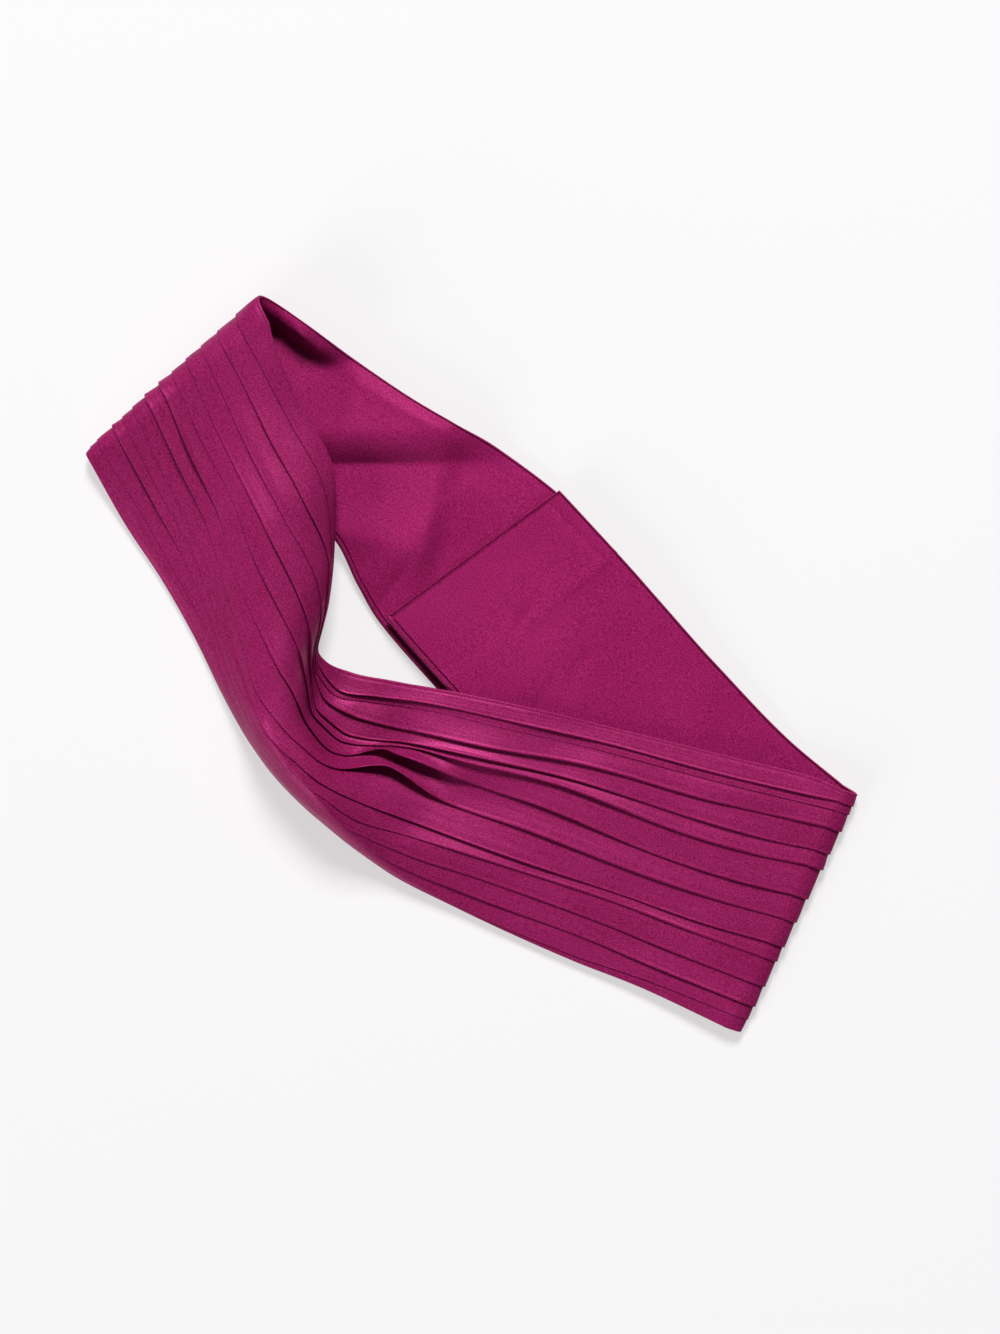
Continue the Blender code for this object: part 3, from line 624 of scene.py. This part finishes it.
# Creases and swells that lie in the back stretches' cloth: where each starts and ends, its
# height at both ends, below 0 for a crease, how far it reaches to the left and to the right
# of its run, and how round it is along its middle
BACK_CREASES = {
    "left": (
        ("x", "y", "end_x", "end_y", "height", "end_height", "left", "right", "round"),
        (-84.0, 12.0, -50.0, 29.0, 5.0, 4.6, 50.0, 13.0, 4.0),
        (-50.0, 62.0, -56.0, 8.0, 0.8, 0.8, 10.0, 6.0, 3.0),
        (-48.5, 12.0, -47.5, 1.0, -0.7, -0.4, 2.0, 2.0, 0.6),
    ),
    "right": (
        ("x", "y", "end_x", "end_y", "height", "end_height", "left", "right", "round"),
        (15.0, 81.0, -1.0, 2.0, 0.55, 0.25, 1.8, 12.0, 0.5),
        (-18.0, 78.6, 14.0, 75.5, -0.4, -0.3, 1.5, 1.5, 0.5),
        (2.5, 36.0, 4.0, 27.5, -0.6, -0.4, 1.6, 1.6, 0.6),
        (33.0, 36.0, 35.0, 24.0, -0.5, -0.3, 2.2, 2.2, 0.8),
        (28.0, 24.0, 30.0, 11.0, -0.4, -0.5, 2.0, 2.0, 0.8),
        (7.0, 24.0, -2.0, -4.0, 0.3, 0.2, 5.0, 5.0, 3.0),
        (26.0, 72.0, 22.0, 30.0, -0.35, -0.2, 9.0, 9.0, 4.0),
        (88.0, 68.0, 78.0, 34.0, -0.5, -0.3, 9.0, 9.0, 4.0),
    ),
}
EDGE_FADE = 12            # they fade out beside the top edge, over the width divided by this

FIRST_ROW = 0.02          # way of the first row from the end fold's last one
BACK_ROW_LENGTH = 1.3
END_ROWS = 5              # round the turned-in free end
END_LIP = 0.5             # how far the free end is turned in over the lining
THINNEST = 0.02           # square of the last row's share of the cloth's thickness
BACK_SEED = 23


def plateau(grid, share):
    """How high the left back stretch stands off the table before its crease."""
    start, end = np.array(CREASE_RUN)
    run = (end - start) / np.hypot(*(end - start))
    aside = (grid[:, :, :2] - start) @ np.array([-run[1], run[0]])
    rounded = (aside + np.sqrt(aside ** 2 + CREASE_ROUND)) / 2
    fall = 1 - (1 - np.minimum(rounded / CREASE_REACH, 1)) ** CREASE_POWER
    ends = np.clip((share - PLATEAU_ENDS[0]) / (PLATEAU_ENDS[1] - PLATEAU_ENDS[0]), 0, 1)
    high = smooth(*PLATEAU, grid[:, :, 0].ravel()).reshape(aside.shape)
    return high * fall * (1 - ease(ends))


def back_surface(side, first_row):
    """The surface between cloth and lining of a back stretch, from its end fold's last row,
    and how far each of its rows is from the free end."""
    sections = np.array([row[1:] for row in BACK_STRETCHES[side][1:]])
    tops, bottoms = sections[:, 0:2], sections[:, 2:4]
    share = np.interp(ACROSS, list(LINES), share_down(side))
    plans = tops[:, None] + share[None, :, None] * (bottoms - tops)[:, None]
    plans = np.concatenate([first_row[None, :, :2], plans])
    bow = np.concatenate([[0.0], sections[:, 4]])
    height = np.concatenate([[ON_TABLE], sections[:, 5]])
    middle = plans[:, len(ACROSS) // 2]
    way = np.concatenate([[0], np.cumsum(np.hypot(*np.diff(middle, axis=0).T))])
    stops = list(np.linspace(FIRST_ROW, way[-1] - ROLL, int(way[-1] / BACK_ROW_LENGTH)))
    for k in range(1, END_ROWS + 1):
        stops.append(way[-1] - ROLL + ROLL * math.sin(math.pi / 2 * k / END_ROWS))
    stops = np.array(stops)
    x = smooth(way, plans[:, :, 0], stops)
    y = smooth(way, plans[:, :, 1], stops)
    z = smooth(way, height, stops) + smooth(way, bow, stops) * np.sin(math.pi * share)
    grid = np.stack([x, y, z], axis=2)
    rim = np.array([standing_rim(row) for row in grid])
    grid[:, :, 2] += crease_height(grid, BACK_CREASES[side]) * np.minimum(1, EDGE_FADE * share)
    if side == "left":
        from_fold = np.minimum(stops / PLATEAU_START, 1)[:, None]
        grid[:, :, 2] += smooth(*RIM_RUN, stops) * rim + plateau(grid, share) * from_fold
    grid[:, :, 2] = np.maximum(grid[:, :, 2], ON_TABLE)
    return grid, way[-1] - stops


backs = {}
for side, row in (("left", ring[0]), ("right", ring[-1])):
    grid, to_end = back_surface(side, row)
    if side == "left":
        grid, to_end = grid[::-1], to_end[::-1]
    backs[side] = grid, to_end
    thin = np.sqrt(np.clip(1 - (1 - np.minimum(to_end, ROLL) / ROLL) ** 2, THINNEST, 1))
    points = pleated_section(grid, np.full((len(grid), LAST), BACK_RISE),
                             np.zeros((len(grid), LAST + 1)),
                             np.where(to_end < END_LIP, -ROLL, CLOTH_INSIDE), BACK_SEED)
    middle = points.mean(axis=1)[:, None, 2]
    points[:, :, 2] = middle + (points[:, :, 2] - middle) * thin[:, None]
    piece = cloth("pleated_satin_back_" + side, points)
    piece.data.materials.append(pleated_satin)
    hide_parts("pleats_back_" + side)
    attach(piece, "root")


# ---------------------------------------------------------------- lining
# The inside of the band is faced with plain satin of the same plum, sewn in along both
# rolled edges and lying a little loose on the pleats. It shows wherever the belt's inside
# is up: on the back stretches and in the open turn of the left fold.

LINING_SIDES = -0.75, -0.15  # its two faces, from the surface between cloth and lining
GROOVE = 0.7              # between the rolled edges and the lining
LINING_POINTS = 96        # across each face


def lining(name, grid, node):
    """A thin closed shell of lining on the inner side of the surface."""
    pleats = np.linalg.norm(np.diff(grid[:, ::FINE], axis=1), axis=2)
    start = (LIP[0] + GROOVE) / pleats[:, :1]
    end = LAST - (LIP[1] + GROOVE) / pleats[:, -1:]
    at = start + (end - start) * np.linspace(0, 1, LINING_POINTS)[None, :]
    facing = sample(normals(grid), at)
    outer, inner = [sample(grid, at) + facing * side for side in LINING_SIDES]
    piece = cloth(name, np.concatenate([outer, inner[:, ::-1], outer[:, :1]], axis=1))
    piece.data.materials.append(lining_satin)
    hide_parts(node)
    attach(piece, "root")


lining_satin = satin("plum_satin_lining", (0.157, 0.0, 0.039), (0.404, 0.023, 0.156),
                     roughness=0.46, gloss=0.14, streaky=0.05)
lining("lining_satin_front", ring[::2], "lining_front")
for side, (grid, to_end) in backs.items():
    lining("lining_satin_back_" + side, grid[to_end > END_LIP + GROOVE], "lining_back_" + side)


# ---------------------------------------------------------------- closure tapes
# A woven loop tape is sewn on the lower free end's lining and a hook tape under the upper
# end. They are pressed together between the two, so only their edges can be seen.

TAPE_PLUM = (0.17, 0.01, 0.06)
RIB_SHADE = 0.7           # how dark the tape is between its ribs


def tape(name, colour):
    """Woven nylon tape with a fine rib."""
    material = bpy.data.materials.new(name)
    material.use_nodes = True
    nodes, links = material.node_tree.nodes, material.node_tree.links
    shader = nodes["Principled BSDF"]
    shader.inputs["Roughness"].default_value = 0.8
    place = nodes.new("ShaderNodeTexCoord")
    rib = nodes.new("ShaderNodeTexWave")
    rib.inputs["Scale"].default_value = 900.0
    rib.inputs["Distortion"].default_value = 2.0
    links.new(place.outputs["Object"], rib.inputs["Vector"])
    ramp = nodes.new("ShaderNodeValToRGB")
    ramp.color_ramp.elements[0].color = (*[c * RIB_SHADE for c in colour], 1)
    ramp.color_ramp.elements[1].color = (*colour, 1)
    links.new(rib.outputs["Fac"], ramp.inputs["Fac"])
    links.new(ramp.outputs["Color"], shader.inputs["Base Color"])
    bump = nodes.new("ShaderNodeBump")
    bump.inputs["Strength"].default_value = 0.6
    bump.inputs["Distance"].default_value = 0.0002
    links.new(rib.outputs["Fac"], bump.inputs["Height"])
    links.new(bump.outputs["Normal"], shader.inputs["Normal"])
    return material


for node in ("loop_tape", "hook_tape"):
    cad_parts[node].data.materials.clear()
    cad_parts[node].data.materials.append(tape(node + "_weave", TAPE_PLUM))


# ---------------------------------------------------------------- table, light and camera
# A plain white table, even light from all round with a large soft lamp behind the belt's
# upper side, and a camera straight above, turned so that the belt lies across the picture.

TABLE_SIZE = 6.0
TABLE_GAP = 0.0002        # keeps the table's face clear of the cloth on it

bpy.ops.object.select_all(action="DESELECT")
bpy.ops.mesh.primitive_plane_add(size=TABLE_SIZE, location=(0, 0, -TABLE_GAP))
floor = bpy.context.object
floor.name = "table_top"
white = bpy.data.materials.new("white_table")
white.use_nodes = True
paper = white.node_tree.nodes["Principled BSDF"]
paper.inputs["Base Color"].default_value = (0.285, 0.2815, 0.2832, 1)
paper.inputs["Roughness"].default_value = 0.9
paper.inputs["Emission Color"].default_value = (1.0, 0.985, 0.993, 1)
paper.inputs["Emission Strength"].default_value = 0.56
floor.data.materials.append(white)

scene = bpy.context.scene
scene.view_settings.view_transform = "Standard"
scene.world = bpy.data.worlds.new("studio")
scene.world.use_nodes = True
sky = scene.world.node_tree.nodes["Background"]
sky.inputs["Color"].default_value = (1.0, 0.99, 1.0, 1)
sky.inputs["Strength"].default_value = 0.14

LAMP_DISTANCE = 6.0


def soft_lamp(name, direction, elevation, size, power):
    """A square soft lamp in a direction and at an elevation in degrees, aimed at the belt."""
    light = bpy.data.lights.new(name, "AREA")
    light.shape = "SQUARE"
    light.size = size
    light.energy = power
    lamp = bpy.data.objects.new(name, light)
    scene.collection.objects.link(lamp)
    a, b = math.radians(direction), math.radians(elevation)
    towards = Vector((math.cos(a) * math.cos(b), math.sin(a) * math.cos(b), math.sin(b)))
    lamp.location = towards * LAMP_DISTANCE
    lamp.rotation_euler = (-towards).to_track_quat("-Z", "Y").to_euler()


soft_lamp("key_lamp", direction=128, elevation=43, size=1.8, power=524)
soft_lamp("fill_lamp", direction=262, elevation=17, size=2.6, power=270)

VIEW_CENTRE = (0.008, 0.0131)
VIEW_LENGTH = 0.5603      # the picture's long side on the table
VIEW_TURN = 40            # in degrees
CAMERA_HEIGHT = 2.0
SENSOR = 36.0
FARTHEST = 20.0           # that the camera can see

camera = bpy.data.objects.new("camera", bpy.data.cameras.new("camera"))
scene.collection.objects.link(camera)
camera.location = (*VIEW_CENTRE, CAMERA_HEIGHT)
camera.rotation_euler = (0, 0, math.radians(VIEW_TURN))
camera.data.sensor_width = SENSOR
camera.data.lens = SENSOR * CAMERA_HEIGHT / VIEW_LENGTH
camera.data.clip_end = FARTHEST
scene.camera = camera
